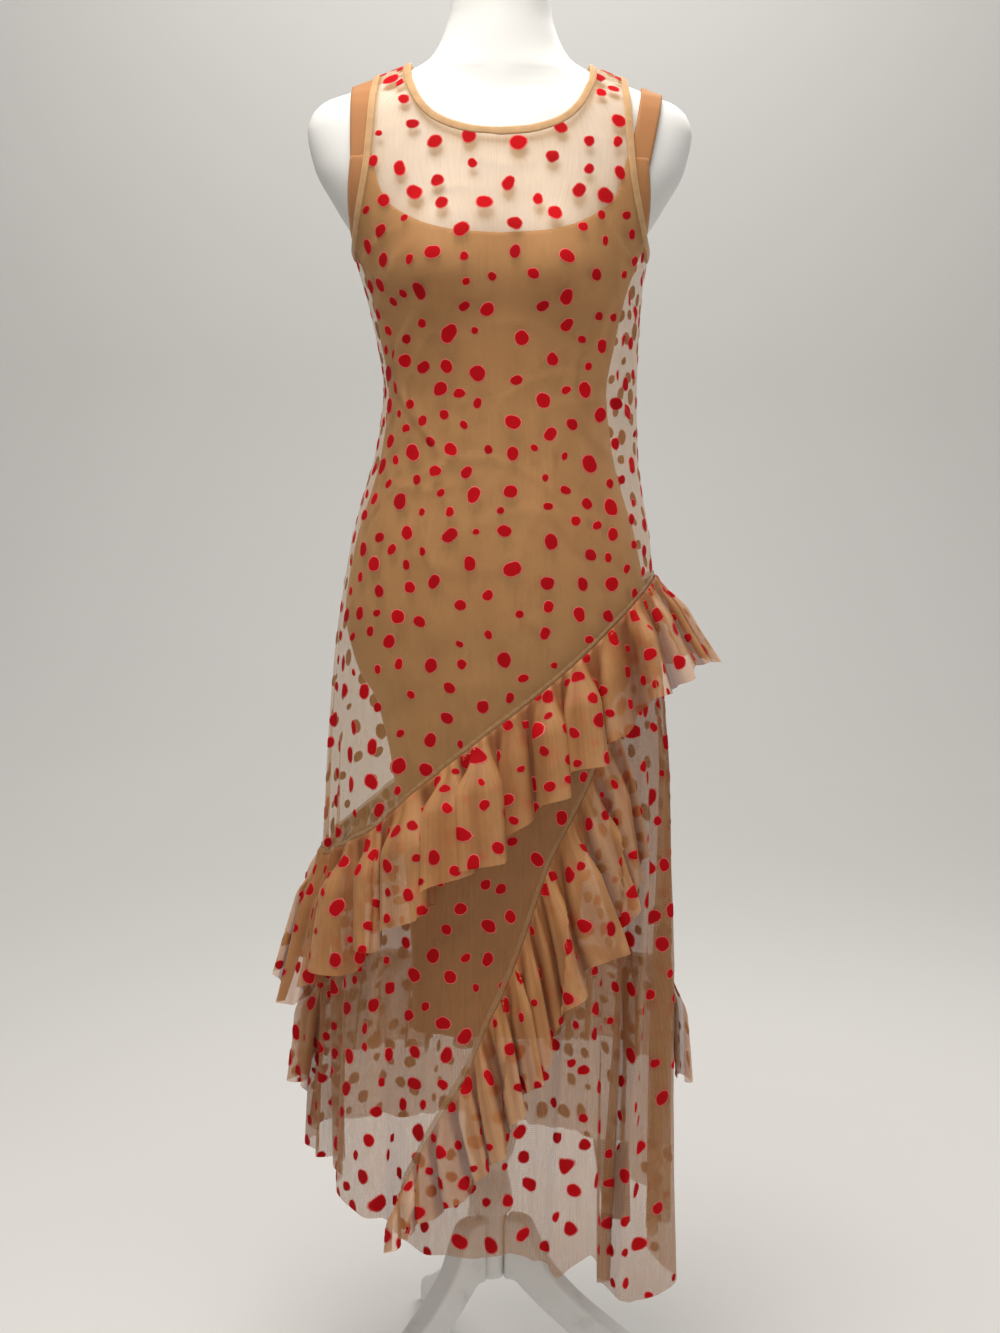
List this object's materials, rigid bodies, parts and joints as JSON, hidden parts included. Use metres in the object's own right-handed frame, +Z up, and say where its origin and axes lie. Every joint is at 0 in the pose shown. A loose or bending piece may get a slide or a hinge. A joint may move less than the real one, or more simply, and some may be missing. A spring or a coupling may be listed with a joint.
{
  "type": "polka dot dress on dress form",
  "caption": "Sleeveless long dotted mesh dress with diagonal gathered ruffles over a plain slip, on a limbless torso form with a turned column and tripod legs.",
  "frame": {"origin": "on the floor, under the middle of the whole object's box", "axes": "+Z up along the stand's column, -Y the way the dress faces, +X towards the wearer's left"},
  "size_m": [0.4824, 0.4562, 1.498],
  "materials": {
    "form_white": "smooth white, slightly satin",
    "white_paint": "white satin paint on turned wood",
    "mesh_tan": "sheer tan mesh with flocked red dots",
    "slip_tan": "opaque tan jersey",
    "binding_tan": "folded tan jersey binding",
    "label_white": "blank white satin ribbon"
  },
  "bodies": {
    "root": {"torso": "form_white", "stand_column": "white_paint", "stand_pole": "white_paint", "leg_front": "white_paint", "leg_side": "white_paint", "leg_back": "white_paint", "slip_front": "slip_tan", "slip_back": "slip_tan", "slip_strap_minus_x": "slip_tan", "slip_strap_plus_x": "slip_tan", "bodice_front": "mesh_tan", "bodice_back": "mesh_tan", "skirt_front": "mesh_tan", "skirt_back": "mesh_tan", "ruffle_upper_front": "mesh_tan", "ruffle_upper_back": "mesh_tan", "ruffle_lower_front": "mesh_tan", "ruffle_lower_back": "mesh_tan", "binding_neck": "binding_tan", "binding_arm_minus_x": "binding_tan", "binding_arm_plus_x": "binding_tan", "care_label": "label_white"}
  },
  "joints": []
}
